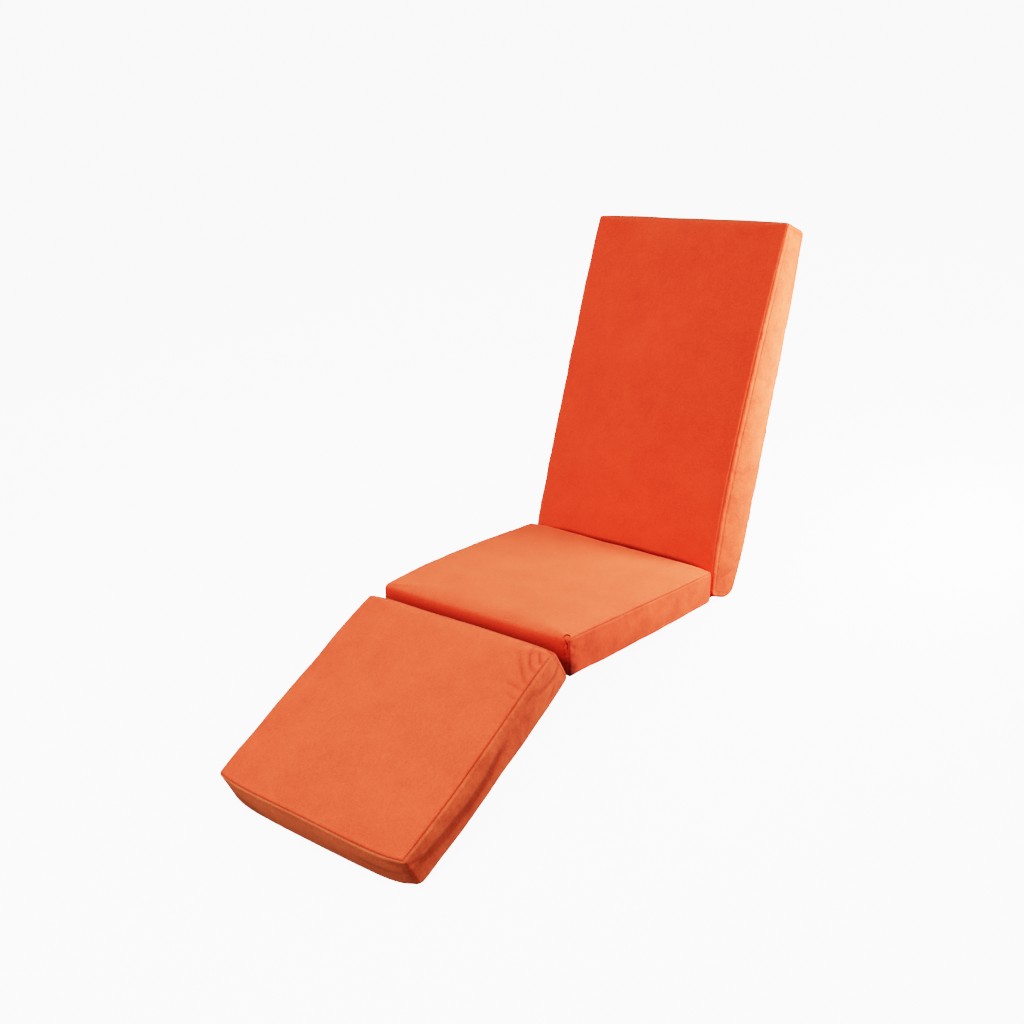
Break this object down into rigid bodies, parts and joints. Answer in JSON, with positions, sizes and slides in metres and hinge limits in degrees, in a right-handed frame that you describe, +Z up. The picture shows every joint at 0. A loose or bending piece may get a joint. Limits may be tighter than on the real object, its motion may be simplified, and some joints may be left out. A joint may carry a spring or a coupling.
{
  "type": "garden chair cushion",
  "caption": "Long folding lounger cushion of box-sided filled sections for legs, seat and back, joined by cloth hinges along their lower edges.",
  "frame": {"origin": "middle of the floor area that the cushion covers, on the floor", "axes": "+X across the width towards the sitter's left, +Y from the foot end to the back, +Z up"},
  "size_m": [0.5074, 1.4186, 0.6856],
  "materials": {
    "canvas": "matt woven outdoor canvas, orange",
    "web_canvas": "the same canvas, single layer, shaded"
  },
  "bodies": {
    "root": {"leg_section": "canvas", "seat_section": "canvas", "back_section": "canvas", "knee_web": "web_canvas", "hip_web": "web_canvas"}
  },
  "joints": []
}
